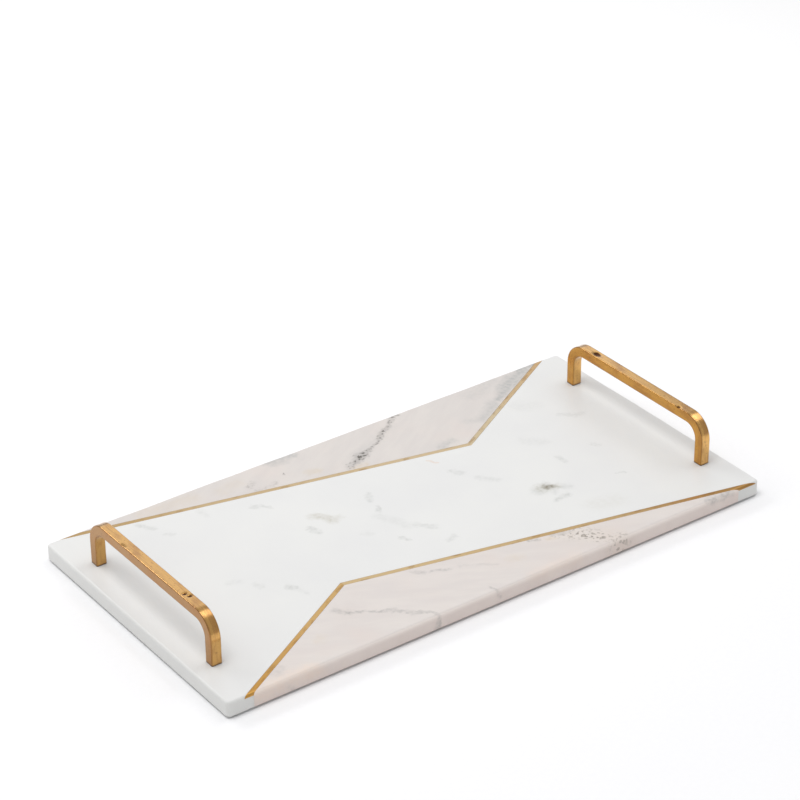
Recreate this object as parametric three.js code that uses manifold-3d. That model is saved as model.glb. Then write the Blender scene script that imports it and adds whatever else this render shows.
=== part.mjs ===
// A dresser vanity tray: a slab pieced together from white and pink marble, brass strips let
// into its seams, two bent brass handles screwed on from below, and four rubber feet.
//
// Millimetres. +X runs along the tray, +Y across it towards the back, +Z is up. The origin is
// on the surface that the tray stands on, under the middle of the slab.

import * as THREE from 'three';
import { mergeVertices } from 'three/addons/utils/BufferGeometryUtils.js';
import Module from 'manifold-3d';

const wasm = await Module();
wasm.setup();

// ---------------------------------------------------------------- driving dimensions

const SLAB_LENGTH = 400;
const SLAB_WIDTH = 205;
const SLAB_THICKNESS = 10;
const CORNER_RADIUS = 3;
const TOP_EASE = 1.8;
const BOTTOM_EASE = 0.3;

// Each inlay is a bent line: a long arm and a short arm that meet at the bend. The arms end on
// a long edge of the slab, at these distances from its two corners.
const INLAY_BEND = new THREE.Vector2(79.5, 42.1);
const LONG_ARM_FROM_CORNER = 10;
const SHORT_ARM_FROM_CORNER = 14.5;
const INLAY_WIDTH = 3;
const INLAY_DEPTH = 1.8;
const GLUE_LINE = 0.1;

const BAR = 7;
const BAR_EDGE = 0.7;
const HANDLE_SPAN = 136;
const HANDLE_HEIGHT = 32.5;
const HANDLE_BEND = 16;
const HANDLE_FROM_END = 12;

const SCREW_RADIUS = 2;
const SCREW_LENGTH = 14;
const SCREW_HEAD_RADIUS = 4;
const SCREW_HEAD_HEIGHT = 2.6;
const RECESS_WIDTH = 1;
const RECESS_SPAN = 4.4;
const RECESS_DEPTH = 1.5;
const TAPPED_RADIUS = 2.1;
const TAPPED_DEPTH = 9;
const CLEARANCE_RADIUS = 2.4;
const WASHER_RADIUS = 4.5;
const WASHER_THICKNESS = 0.8;
const COUNTERBORE_RADIUS = 5;
const COUNTERBORE_DEPTH = 4.2;

const FOOT_RADIUS = 6;
const FOOT_HEIGHT = 1.5;
const FOOT_EDGE = 0.4;
const FOOT_FROM_EDGE = 22;

// ---------------------------------------------------------------- places worked out from them

const HALF_LENGTH = SLAB_LENGTH / 2;
const HALF_WIDTH = SLAB_WIDTH / 2;
const SLAB_BOTTOM = FOOT_HEIGHT;
const SLAB_TOP = SLAB_BOTTOM + SLAB_THICKNESS;
const LEG_X = HALF_LENGTH - HANDLE_FROM_END - BAR / 2;
const LEG_Y = HANDLE_SPAN / 2 - BAR / 2;
const SEAT = SLAB_BOTTOM + COUNTERBORE_DEPTH;
const PAST = 20;

const SIDES = { left: -1, right: 1 };
const EDGES = { front: -1, back: 1 };

// ---------------------------------------------------------------- materials

const finish = (color, roughness, metalness) =>
  new THREE.MeshStandardMaterial({ color, roughness, metalness });

const whiteMarble = () => finish(0xe9e8e6, 0.35, 0);
const pinkMarble = () => finish(0xdfd6d1, 0.35, 0);
const inlayBrass = () => finish(0xc8a472, 0.4, 1);
const handleBrass = () => finish(0xc9964f, 0.38, 1);
const zincSteel = () => finish(0xb4b6b8, 0.45, 1);
const rubber = () => finish(0x3a3a3b, 0.9, 0);

// ---------------------------------------------------------------- solids

// A closed geometry as a solid that can be joined and cut.
function solid(geometry) {
  const bare = geometry.clone();
  bare.deleteAttribute('normal');
  bare.deleteAttribute('uv');
  const merged = mergeVertices(bare);
  return new wasm.Manifold(new wasm.Mesh({
    numProp: 3,
    vertProperties: new Float32Array(merged.attributes.position.array),
    triVerts: new Uint32Array(merged.index.array),
  }));
}

// A solid back as a geometry.
function geometryOf(body) {
  const { vertProperties, triVerts } = body.getMesh();
  const geometry = new THREE.BufferGeometry();
  geometry.setAttribute('position', new THREE.BufferAttribute(vertProperties, 3));
  geometry.setIndex(new THREE.BufferAttribute(triVerts, 1));
  geometry.computeVertexNormals();
  return geometry;
}

// An upright prism on an outline of points, from one height to another.
function prism(points, low, high) {
  const geometry = new THREE.ExtrudeGeometry(new THREE.Shape(points), {
    depth: high - low,
    bevelEnabled: false,
  });
  geometry.translate(0, 0, low);
  return solid(geometry);
}

// An upright round post.
function post(x, y, radius, low, high, segments = 40) {
  const geometry = new THREE.CylinderGeometry(radius, radius, high - low, segments);
  geometry.rotateX(Math.PI / 2);
  geometry.translate(x, y, (low + high) / 2);
  return solid(geometry);
}

// A round piece turned about an upright axis through the origin. The profile is [radius, height].
function turned(profile, segments = 32) {
  const points = profile.map(([radius, height]) => new THREE.Vector2(radius, height));
  const geometry = new THREE.LatheGeometry(points, segments);
  geometry.rotateX(Math.PI / 2);
  return geometry;
}

// ---------------------------------------------------------------- the slab's outer form

function roundedRectangle() {
  const x = HALF_LENGTH - CORNER_RADIUS;
  const y = HALF_WIDTH - CORNER_RADIUS;
  const shape = new THREE.Shape();
  shape.absarc(x, y, CORNER_RADIUS, 0, Math.PI / 2);
  shape.absarc(-x, y, CORNER_RADIUS, Math.PI / 2, Math.PI);
  shape.absarc(-x, -y, CORNER_RADIUS, Math.PI, Math.PI * 1.5);
  shape.absarc(x, -y, CORNER_RADIUS, Math.PI * 1.5, Math.PI * 2);
  return shape;
}

// The outline extruded between two heights, with both of its rims rounded over.
function easedBlock(ease, low, high, bevelSegments) {
  const geometry = new THREE.ExtrudeGeometry(roundedRectangle(), {
    depth: high - low - 2 * ease,
    bevelSize: ease,
    bevelThickness: ease,
    bevelOffset: -ease,
    bevelSegments,
    curveSegments: 6,
  });
  geometry.translate(0, 0, low + ease);
  return solid(geometry);
}

const roundedOnTop = easedBlock(TOP_EASE, SLAB_BOTTOM - PAST, SLAB_TOP, 6);
const roundedBelow = easedBlock(BOTTOM_EASE, SLAB_BOTTOM, SLAB_TOP + PAST, 2);
const slabForm = roundedOnTop.intersect(roundedBelow);

// ---------------------------------------------------------------- seams and inlays

// The back inlay's middle line: past the back edge, the bend, and past the back edge again.
function inlayLine() {
  const longEnd = new THREE.Vector2(-HALF_LENGTH + LONG_ARM_FROM_CORNER, HALF_WIDTH);
  const shortEnd = new THREE.Vector2(HALF_LENGTH - SHORT_ARM_FROM_CORNER, HALF_WIDTH);
  const beyond = (end) => {
    const outward = end.clone().sub(INLAY_BEND).normalize();
    return end.clone().addScaledVector(outward, PAST);
  };
  return [beyond(longEnd), INLAY_BEND.clone(), beyond(shortEnd)];
}

// The inlay's middle line moved sideways, mitred at the bend. Positive moves it to the back.
function movedLine(distance) {
  const [first, bend, last] = inlayLine();
  const normalOf = (from, to) => {
    const along = to.clone().sub(from).normalize();
    return new THREE.Vector2(-along.y, along.x);
  };
  const before = normalOf(first, bend);
  const after = normalOf(bend, last);
  const mitre = before.clone().add(after).normalize();
  return [
    first.addScaledVector(before, distance),
    bend.addScaledVector(mitre, distance / mitre.dot(before)),
    last.addScaledVector(after, distance),
  ];
}

// The front half of the pattern is the back half turned half a turn about the tray's middle.
const placed = (points, edge) =>
  points.map((point) => new THREE.Vector2(point.x * edge, point.y * edge));

// The ground on the far side of a moved line, out past the edge of the slab.
function groundBehind(distance) {
  const line = movedLine(distance);
  const outside = HALF_WIDTH + 3 * PAST;
  return [
    ...line,
    new THREE.Vector2(line[2].x, outside),
    new THREE.Vector2(line[0].x, outside),
  ];
}

// One arm's footprint: arm 0 is the long one, arm 1 the short one. The gap is at the mitre.
function armOutline(arm, halfWidth, gap) {
  const near = movedLine(-halfWidth);
  const far = movedLine(halfWidth);
  const outer = arm === 0 ? 0 : 2;
  const pullBack = (line) => {
    const towards = line[outer].clone().sub(line[1]).normalize();
    return line[1].clone().addScaledVector(towards, gap);
  };
  const outline = [near[outer], pullBack(near), pullBack(far), far[outer]];
  return arm === 0 ? outline : outline.reverse();
}

const halfInlay = INLAY_WIDTH / 2;
const inlayFloor = SLAB_TOP - INLAY_DEPTH;

function inlayArm(edge, arm) {
  const outline = placed(armOutline(arm, halfInlay, GLUE_LINE / 2), edge);
  return slabForm.intersect(prism(outline, inlayFloor, SLAB_TOP + PAST));
}

function pinkPiece(edge) {
  const outline = placed(groundBehind(halfInlay + GLUE_LINE), edge);
  return slabForm.intersect(prism(outline, SLAB_BOTTOM - PAST, SLAB_TOP + PAST));
}

// The white middle runs under the strips, so their beds are cut into its edges.
function whitePiece() {
  let body = slabForm;
  for (const edge of Object.values(EDGES)) {
    const beyond = placed(groundBehind(halfInlay), edge);
    const bed = placed(groundBehind(-halfInlay - GLUE_LINE), edge);
    body = body.subtract(prism(beyond, SLAB_BOTTOM - PAST, SLAB_TOP + PAST));
    body = body.subtract(prism(bed, inlayFloor - GLUE_LINE, SLAB_TOP + PAST));
  }
  for (const side of Object.values(SIDES)) {
    for (const edge of Object.values(EDGES)) {
      const [x, y] = [side * LEG_X, edge * LEG_Y];
      body = body.subtract(post(x, y, CLEARANCE_RADIUS, SLAB_BOTTOM - PAST, SLAB_TOP + PAST));
      body = body.subtract(post(x, y, COUNTERBORE_RADIUS, SLAB_BOTTOM - PAST, SEAT));
    }
  }
  return body;
}

// ---------------------------------------------------------------- handles

// The bent bar seen from its end of the tray: x across the tray, y up from the slab.
function bentBarShape() {
  const outside = HANDLE_SPAN / 2;
  const inside = outside - BAR;
  const centre = outside - HANDLE_BEND;
  const bendHeight = HANDLE_HEIGHT - HANDLE_BEND;
  const shape = new THREE.Shape();
  shape.moveTo(-inside, -BAR);
  shape.lineTo(-outside, -BAR);
  shape.absarc(-centre, bendHeight, HANDLE_BEND, Math.PI, Math.PI / 2, true);
  shape.absarc(centre, bendHeight, HANDLE_BEND, Math.PI / 2, 0, true);
  shape.lineTo(outside, -BAR);
  shape.lineTo(inside, -BAR);
  shape.absarc(centre, bendHeight, HANDLE_BEND - BAR, 0, Math.PI / 2, false);
  shape.absarc(-centre, bendHeight, HANDLE_BEND - BAR, Math.PI / 2, Math.PI, false);
  return shape;
}

function handle(side) {
  const geometry = new THREE.ExtrudeGeometry(bentBarShape(), {
    depth: BAR - 2 * BAR_EDGE,
    bevelSize: BAR_EDGE,
    bevelThickness: BAR_EDGE,
    bevelOffset: -BAR_EDGE,
    bevelSegments: 2,
    curveSegments: 12,
  });
  geometry.translate(0, 0, BAR_EDGE - BAR / 2);
  const across = new THREE.Vector3(0, 1, 0);
  const up = new THREE.Vector3(0, 0, 1);
  const along = new THREE.Vector3(1, 0, 0);
  geometry.applyMatrix4(new THREE.Matrix4().makeBasis(across, up, along));
  geometry.translate(side * LEG_X, 0, SLAB_TOP);

  const room = [[-1, -1], [1, -1], [1, 1], [-1, 1]].map(
    ([x, y]) => new THREE.Vector2(side * LEG_X + x * PAST, y * HANDLE_SPAN),
  );
  let body = solid(geometry).intersect(prism(room, SLAB_TOP, SLAB_TOP + 2 * HANDLE_HEIGHT));
  for (const edge of Object.values(EDGES)) {
    const hole = post(
      side * LEG_X, edge * LEG_Y, TAPPED_RADIUS, SLAB_TOP - PAST, SLAB_TOP + TAPPED_DEPTH, 24,
    );
    body = body.subtract(hole);
  }
  return body;
}

// ---------------------------------------------------------------- fasteners and feet

// A pan-head screw with a cross recess, its head's seat at height 0 and its shank pointing up.
function screw() {
  const rim = SCREW_HEAD_HEIGHT * 0.45;
  const crown = SCREW_HEAD_RADIUS * 0.6;
  const tip = 0.6;
  const form = solid(turned([
    [0, -SCREW_HEAD_HEIGHT],
    [crown, -SCREW_HEAD_HEIGHT],
    [SCREW_HEAD_RADIUS * 0.88, -SCREW_HEAD_HEIGHT * 0.82],
    [SCREW_HEAD_RADIUS, -rim],
    [SCREW_HEAD_RADIUS, 0],
    [SCREW_RADIUS, 0],
    [SCREW_RADIUS, SCREW_LENGTH - tip],
    [SCREW_RADIUS - tip, SCREW_LENGTH],
    [0, SCREW_LENGTH],
  ]));
  const slot = (sizeX, sizeY) => {
    const box = new THREE.BoxGeometry(sizeX, sizeY, 2 * RECESS_DEPTH);
    box.translate(0, 0, -SCREW_HEAD_HEIGHT);
    return solid(box);
  };
  const cross = slot(RECESS_SPAN, RECESS_WIDTH).add(slot(RECESS_WIDTH, RECESS_SPAN));
  return geometryOf(form.subtract(cross));
}

function washer() {
  return turned([
    [CLEARANCE_RADIUS, -WASHER_THICKNESS],
    [WASHER_RADIUS, -WASHER_THICKNESS],
    [WASHER_RADIUS, 0],
    [CLEARANCE_RADIUS, 0],
    [CLEARANCE_RADIUS, -WASHER_THICKNESS],
  ]);
}

function foot() {
  return turned([
    [0, 0],
    [FOOT_RADIUS - FOOT_EDGE, 0],
    [FOOT_RADIUS, FOOT_EDGE],
    [FOOT_RADIUS, FOOT_HEIGHT],
    [0, FOOT_HEIGHT],
  ]);
}

// ---------------------------------------------------------------- the tray

const tray = new THREE.Group();

function add(name, geometry, material, x = 0, y = 0, z = 0) {
  const mesh = new THREE.Mesh(geometry, material);
  mesh.name = name;
  mesh.position.set(x, y, z);
  tray.add(mesh);
}

add('white_marble_centre', geometryOf(whitePiece()), whiteMarble());

for (const [edgeName, edge] of Object.entries(EDGES)) {
  add(`pink_marble_${edgeName}`, geometryOf(pinkPiece(edge)), pinkMarble());
  add(`inlay_${edgeName}_long`, geometryOf(inlayArm(edge, 0)), inlayBrass());
  add(`inlay_${edgeName}_short`, geometryOf(inlayArm(edge, 1)), inlayBrass());
}

for (const [sideName, side] of Object.entries(SIDES)) {
  add(`handle_${sideName}`, geometryOf(handle(side)), handleBrass());
  for (const [edgeName, edge] of Object.entries(EDGES)) {
    const corner = `${sideName}_${edgeName}`;
    const [x, y] = [side * LEG_X, edge * LEG_Y];
    add(`screw_${corner}`, screw(), zincSteel(), x, y, SEAT - WASHER_THICKNESS);
    add(`washer_${corner}`, washer(), zincSteel(), x, y, SEAT);
    const footX = side * (HALF_LENGTH - FOOT_FROM_EDGE);
    const footY = edge * (HALF_WIDTH - FOOT_FROM_EDGE);
    add(`foot_${corner}`, foot(), rubber(), footX, footY, 0);
  }
}

export default tray;
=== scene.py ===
import math

import bmesh
import bpy
from mathutils import Matrix, Vector, noise


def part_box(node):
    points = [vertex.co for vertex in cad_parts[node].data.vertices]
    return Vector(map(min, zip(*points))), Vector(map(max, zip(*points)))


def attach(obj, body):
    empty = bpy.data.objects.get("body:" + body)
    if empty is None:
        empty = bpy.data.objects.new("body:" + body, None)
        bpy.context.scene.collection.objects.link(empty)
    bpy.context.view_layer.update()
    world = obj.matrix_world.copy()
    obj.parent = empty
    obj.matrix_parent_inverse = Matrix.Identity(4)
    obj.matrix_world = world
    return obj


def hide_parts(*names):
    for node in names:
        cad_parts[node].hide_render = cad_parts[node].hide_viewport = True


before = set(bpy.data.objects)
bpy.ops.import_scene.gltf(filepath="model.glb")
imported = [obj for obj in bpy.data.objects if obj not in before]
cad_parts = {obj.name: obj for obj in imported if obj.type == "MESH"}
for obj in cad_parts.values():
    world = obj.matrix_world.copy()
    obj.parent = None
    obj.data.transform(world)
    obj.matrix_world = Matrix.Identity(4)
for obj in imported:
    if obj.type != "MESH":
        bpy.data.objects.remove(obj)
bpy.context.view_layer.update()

# The looks of a dresser vanity tray: a slab of white and pink marble with brass strips let into
# its seams, two bent brass handles screwed on from below, and four rubber feet.
#
# +X runs along the tray, +Y across it towards the back, +Z is up. Blender's unit is the metre,
# and the named sizes here are in millimetres times MM.

MM = 0.001

# ---------------------------------------------------------------- sizes

CORNER_RADIUS = 3 * MM
TOP_EASE = 1.8 * MM
BOTTOM_EASE = 0.3 * MM
SEAM_EASE = 0.12 * MM
GLUE_LINE = 0.1 * MM
OUTLINE_STEP = 4 * MM
# How far a cutter reaches past the slab.
PAST = 4 * MM

HANDLE_BEND = 16 * MM
BAR_EDGE = 0.7 * MM
LEG_END_EDGE = 0.35 * MM
RING_STEP = 0.5 * MM
TAPPED_RADIUS = 2.1 * MM
TAPPED_DEPTH = 9 * MM

CLEARANCE_RADIUS = 2.4 * MM
COUNTERBORE_RADIUS = 5 * MM
THREAD_RADIUS = 2 * MM
THREAD_PITCH = 0.7 * MM
THREAD_HEIGHT = 0.32 * MM
# Over this length a screw gets thinner at its tip, by this share.
TIP_LENGTH = 0.49 * MM
TIP_TAPER = 0.175
SCREW_HEAD_HEIGHT = 2.6 * MM
SCREW_HEAD_EDGE = 0.5 * MM
RECESS_SPAN = 4.4 * MM
RECESS_WIDTH = 1 * MM
RECESS_DEPTH = 1.5 * MM
WASHER_EDGE = 0.14 * MM
FOOT_DISH = 0.35 * MM
FOOT_EDGE = 0.5 * MM

# ---------------------------------------------------------------- places, from the frame

SIDES = {"left": -1, "right": 1}
EDGES = {"front": -1, "back": 1}
ARMS = ("long", "short")
CORNERS = [(side, edge) for side in SIDES for edge in EDGES]

SLAB_LOW, SLAB_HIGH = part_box("white_marble_centre")
HALF_LENGTH = SLAB_HIGH.x
HALF_WIDTH = SLAB_HIGH.y
SLAB_BOTTOM = SLAB_LOW.z
SLAB_TOP = SLAB_HIGH.z
SLAB_MIDDLE = (SLAB_BOTTOM + SLAB_TOP) / 2
STRIP_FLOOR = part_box("inlay_back_long")[0].z


def round_part(node):
    """A round CAD node's axis at floor level, its radius, and its lowest and highest points."""
    low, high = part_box(node)
    axis = Vector(((low.x + high.x) / 2, (low.y + high.y) / 2, 0))
    return axis, (high.x - low.x) / 2, low.z, high.z


# ---------------------------------------------------------------- making pieces

SHARP_ANGLE = math.radians(50)


def mesh_object(name, bm):
    """A bmesh as an object with smooth shading."""
    bmesh.ops.recalc_face_normals(bm, faces=bm.faces)
    for face in bm.faces:
        face.smooth = True
    mesh = bpy.data.meshes.new(name)
    bm.to_mesh(mesh)
    bm.free()
    thing = bpy.data.objects.new(name, mesh)
    bpy.context.scene.collection.objects.link(thing)
    return thing


def cut(thing, cutters):
    """Cuts solids out of an object, and removes them."""
    for cutter in cutters:
        modifier = thing.modifiers.new("cut", "BOOLEAN")
        modifier.operation = "DIFFERENCE"
        modifier.solver = "EXACT"
        modifier.object = cutter
    bpy.context.view_layer.update()
    result = thing.evaluated_get(bpy.context.evaluated_depsgraph_get())
    mesh = bpy.data.meshes.new_from_object(result)
    thing.modifiers.clear()
    thing.data = mesh
    for cutter in cutters:
        bpy.data.objects.remove(cutter)


def sharpen(mesh):
    """Marks the edges where two faces meet at more than SHARP_ANGLE."""
    bm = bmesh.new()
    bm.from_mesh(mesh)
    for edge in bm.edges:
        edge.smooth = len(edge.link_faces) == 2 and edge.calc_face_angle(0.0) < SHARP_ANGLE
    bm.to_mesh(mesh)
    bm.free()


def settle(thing, node, material):
    """Gives a finished piece its material, and lets it stand for its CAD node."""
    sharpen(thing.data)
    thing.data.materials.clear()
    thing.data.materials.append(material)
    even = thing.modifiers.new("even shading", "WEIGHTED_NORMAL")
    even.keep_sharp = True
    even.weight = 100
    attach(thing, "root")
    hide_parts(node)


# How much of a short side one rounded corner may take, and the points on its curve.
CORNER_SHARE = 0.45
SOFT_STEPS = 4


def softened(profile, radius):
    """A profile of (radius, height) points with its corners rounded. Its two ends stay."""
    points = [Vector(point) for point in profile]
    result = [points[0]]
    for before, tip, after in zip(points, points[1:], points[2:]):
        back = before - tip
        ahead = after - tip
        reach = min(radius, back.length * CORNER_SHARE, ahead.length * CORNER_SHARE)
        start = tip + back.normalized() * reach
        end = tip + ahead.normalized() * reach
        for step in range(SOFT_STEPS + 1):
            t = step / SOFT_STEPS
            result.append(start * (1 - t) ** 2 + tip * 2 * t * (1 - t) + end * t * t)
    result.append(points[-1])
    return result


ROUND_SEGMENTS = 64


def circle(bm, centre, radius, height, segments=ROUND_SEGMENTS):
    """A ring of vertices about an upright axis at centre."""
    ring = []
    for index in range(segments):
        angle = math.tau * index / segments
        offset = Vector((radius * math.cos(angle), radius * math.sin(angle), height))
        ring.append(bm.verts.new(centre + offset))
    return ring


def turned(profile, centre, segments=ROUND_SEGMENTS):
    """A solid turned about an upright axis at centre. The profile starts and ends on the axis."""
    bm = bmesh.new()
    rings = [circle(bm, centre, radius, height, segments) for radius, height in profile[1:-1]]
    join_rings(bm, rings)
    for end, ring in ((profile[0], rings[0]), (profile[-1], rings[-1])):
        tip = bm.verts.new(centre + Vector((0, 0, end[1])))
        for index in range(segments):
            bm.faces.new((ring[index], ring[(index + 1) % segments], tip))
    return bm


def join_rings(bm, rings):
    """Faces between each ring of vertices and the next."""
    for low, high in zip(rings, rings[1:]):
        count = len(low)
        for index in range(count):
            after = (index + 1) % count
            bm.faces.new((low[index], low[after], high[after], high[index]))


def cap(bm, rings):
    """Closes both ends of a stack of rings."""
    bm.faces.new(list(reversed(rings[0])))
    bm.faces.new(rings[-1])


# ---------------------------------------------------------------- the slab's pieces

RIM, JOINT = "rim", "joint"
EASES = {RIM: (TOP_EASE, BOTTOM_EASE), JOINT: (SEAM_EASE, SEAM_EASE)}
EASE_STEPS = 10
CORNER_STEPS = 8
SAME_LEVEL = 0.001 * MM


def rounding(rise, radius):
    """How far a rounded edge has come in, at a rise past the start of its curve."""
    share = min(max(rise / radius, 0.0), 1.0)
    return radius * (1 - math.sqrt(1 - share * share))


def inset(kind, height):
    """How far in a side of the slab stands at a height, as its edges are eased."""
    top, bottom = EASES[kind]
    above = rounding(height - (SLAB_TOP - top), top)
    below = rounding(SLAB_BOTTOM + bottom - height, bottom)
    return above + below


def levels(low, high):
    """The heights at which a slab piece is drawn, from low to high."""
    heights = set()
    for step in range(EASE_STEPS + 1):
        share = 1 - math.cos(math.pi / 2 * step / EASE_STEPS)
        heights.add(SLAB_BOTTOM + BOTTOM_EASE * share)
        heights.add(SLAB_TOP - TOP_EASE * share)
    between = [height for height in heights if low + SAME_LEVEL < height < high - SAME_LEVEL]
    return [low] + sorted(between) + [high]


class Side:
    """A straight side of an outline. It runs along its direction with the piece on its left."""

    def __init__(self, point, direction, kind, shift=0.0):
        self.direction = direction.normalized()
        self.inward = Vector((-self.direction.y, self.direction.x))
        self.point = point + self.inward * shift
        self.kind = kind

    def at(self, height):
        """A point on the side at that height."""
        return self.point + self.inward * inset(self.kind, height)

    def turned_about(self):
        """The same side half a turn round the tray's middle."""
        return Side(-self.point, -self.direction, self.kind)

    def moved(self, shift):
        """The same side, moved inwards."""
        return Side(self.point, self.direction, self.kind, shift)

    def backwards(self):
        """The same line run the other way, so the piece is on its other side."""
        return Side(self.point, -self.direction, self.kind)


class BedSide(Side):
    """A side of a cutter. It leans out at the top, where the stone that it cuts is eased."""

    def at(self, height):
        return self.point - self.inward * inset(self.kind, height)


def meet(first, second, height):
    """Where two sides cross at that height."""
    start = first.at(height)
    gap = second.at(height) - start
    turn = first.direction.cross(second.direction)
    return start + first.direction * (gap.cross(second.direction) / turn)


def corner(before, side, height):
    """The outline's points where one side meets the next: an arc at a corner of the slab."""
    square = meet(before, side, height)
    if before.kind != RIM or side.kind != RIM:
        return [square]
    radius = CORNER_RADIUS - inset(RIM, height)
    centre = square + (before.inward + side.inward) * radius
    arc = []
    for step in range(CORNER_STEPS + 1):
        angle = math.pi / 2 * step / CORNER_STEPS
        outward = before.inward * math.cos(angle) + side.inward * math.sin(angle)
        arc.append(centre - outward * radius)
    return arc


def corners_at(sides, height):
    """The corner at the start of each side."""
    return [corner(sides[index - 1], side, height) for index, side in enumerate(sides)]


def outline(sides, height):
    """The closed outline of a piece at one height, with the same number of points at each."""
    widest = corners_at(sides, SLAB_MIDDLE)
    corners = corners_at(sides, height)
    points = []
    for index, start in enumerate(corners):
        after = (index + 1) % len(sides)
        length = (widest[after][0] - widest[index][-1]).length
        count = max(1, round(length / OUTLINE_STEP))
        points += start
        points += [start[-1].lerp(corners[after][0], step / count) for step in range(1, count)]
    return points


def lofted(sides, low, high=SLAB_TOP):
    """A slab piece's mesh: its outline at each level, joined up and capped."""
    bm = bmesh.new()
    rings = []
    for height in levels(low, high):
        rings.append([bm.verts.new((*point, height)) for point in outline(sides, height)])
    join_rings(bm, rings)
    cap(bm, rings)
    return bm


EASE_WAVER = 0.22 * MM
EASE_WAVE_LENGTH = 22 * MM
FINE_WAVER = 0.06 * MM
FINE_WAVE_LENGTH = 5 * MM


def hand_eased(bm):
    """Lets the rounded top rim waver a little, as an edge eased by hand does."""
    inner = Vector((HALF_LENGTH - CORNER_RADIUS, HALF_WIDTH - CORNER_RADIUS))
    for vertex in bm.verts:
        out = Vector((
            math.copysign(max(abs(vertex.co.x) - inner.x, 0), vertex.co.x),
            math.copysign(max(abs(vertex.co.y) - inner.y, 0), vertex.co.y),
        ))
        cosine = 1 - (CORNER_RADIUS - out.length) / TOP_EASE
        sine = 1 - (SLAB_TOP - vertex.co.z) / TOP_EASE
        if out.length == 0 or cosine <= 0 or sine <= 0:
            continue
        waver = EASE_WAVER * noise.noise(vertex.co / EASE_WAVE_LENGTH)
        waver += FINE_WAVER * noise.noise(vertex.co / FINE_WAVE_LENGTH)
        direction = Vector((*(out.normalized() * cosine), sine))
        # Full halfway round the curve, nothing at its two ends, and never past the slab's faces.
        vertex.co += direction * waver * 2 * sine * cosine
        for axis, limit in enumerate((HALF_LENGTH, HALF_WIDTH, SLAB_TOP)):
            vertex.co[axis] = min(max(vertex.co[axis], -limit), limit)


def strip_corners(node):
    """A CAD strip's four floor corners: the two at its mitre, then the two at the slab's edge."""
    vertices = [vertex.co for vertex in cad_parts[node].data.vertices]
    floor = min(v.z for v in vertices)
    corners = {(round(v.x, 6), round(v.y, 6)) for v in vertices if v.z < floor + SAME_LEVEL}
    ordered = sorted(corners, key=lambda point: abs(point[1]))
    return [Vector(point) for point in ordered[:2]], [Vector(point) for point in ordered[-2:]]


class Strip:
    """A brass strip's two long edges, each run outwards from the bend, and its mitre."""

    def __init__(self, edge, arm):
        mitre, rim = strip_corners(f"inlay_{edge}_{arm}")
        outwards = (rim[0] + rim[1] - mitre[0] - mitre[1]).normalized()
        across = Vector((-outwards.y, outwards.x))
        right_mitre, left_mitre = sorted(mitre, key=across.dot)
        right_rim, left_rim = sorted(rim, key=across.dot)
        self.right = Side(right_mitre, right_rim - right_mitre, JOINT)
        self.left = Side(left_mitre, left_rim - left_mitre, JOINT)
        self.mitre = Side(left_mitre, right_mitre - left_mitre, JOINT)
        self.direction = outwards
        self.start = ((left_mitre + right_mitre) / 2).to_3d()
        self.length = ((left_rim + right_rim - left_mitre - right_mitre) / 2).length


STRIPS = {(edge, arm): Strip(edge, arm) for edge in EDGES for arm in ARMS}


def long_rim(edge):
    """The slab's front or back side."""
    return Side(Vector((0, EDGES[edge] * HALF_WIDTH)), Vector((-EDGES[edge], 0)), RIM)


def end_rim(side):
    """The slab's left or right side."""
    return Side(Vector((SIDES[side] * HALF_LENGTH, 0)), Vector((0, SIDES[side])), RIM)


def strip_sides(edge, arm):
    """A strip's outline, from its mitre to the slab's edge."""
    strip = STRIPS[edge, arm]
    return [strip.right, long_rim(edge), strip.left.backwards(), strip.mitre]


def pink_sides(edge):
    """The outline of a pink piece: a triangle behind the two strips."""
    return [
        STRIPS[edge, "short"].left.moved(GLUE_LINE),
        long_rim(edge),
        STRIPS[edge, "long"].right.backwards().moved(GLUE_LINE),
    ]


def white_sides():
    """The outline of the white middle at its widest, under the strips."""
    front = [
        long_rim("front"),
        STRIPS["front", "short"].left.backwards(),
        STRIPS["front", "long"].right,
        long_rim("front"),
        end_rim("right"),
    ]
    return front + [side.turned_about() for side in front]


def bed_cutter(edge):
    """The bed of the two strips of one edge, as a solid to cut from the white middle."""
    beyond = long_rim(edge).moved(-PAST)
    outlines = [STRIPS[edge, "short"].right, beyond, STRIPS[edge, "long"].left.backwards()]
    sides = [BedSide(side.point, side.direction, JOINT, -GLUE_LINE) for side in outlines]
    return mesh_object("bed cutter", lofted(sides, STRIP_FLOOR - GLUE_LINE, SLAB_TOP + PAST))


def hole_cutter(side, edge):
    """The clearance hole and counterbore under one handle leg, as a solid to cut."""
    centre = round_part(f"screw_{side}_{edge}")[0]
    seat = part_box(f"washer_{side}_{edge}")[1].z
    profile = [
        (0, SLAB_BOTTOM - PAST),
        (COUNTERBORE_RADIUS, SLAB_BOTTOM - PAST),
        (COUNTERBORE_RADIUS, seat),
        (CLEARANCE_RADIUS, seat),
        (CLEARANCE_RADIUS, SLAB_TOP + PAST),
        (0, SLAB_TOP + PAST),
    ]
    return mesh_object("hole cutter", turned(profile, centre))


# ---------------------------------------------------------------- handles

class Dent:
    """A tool mark on a handle's top face: its place, half sizes and depth."""

    def __init__(self, across, along, half_width, half_length, depth):
        self.across = across * MM
        self.along = along * MM
        self.half_width = half_width * MM
        self.half_length = half_length * MM
        self.depth = depth * MM

    def at(self, across, along):
        """How deep the mark is at a place on the face."""
        x = (across - self.across) / self.half_width
        y = (along - self.along) / self.half_length
        return self.depth * math.exp(-(x * x + y * y) ** 1.5)


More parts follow.
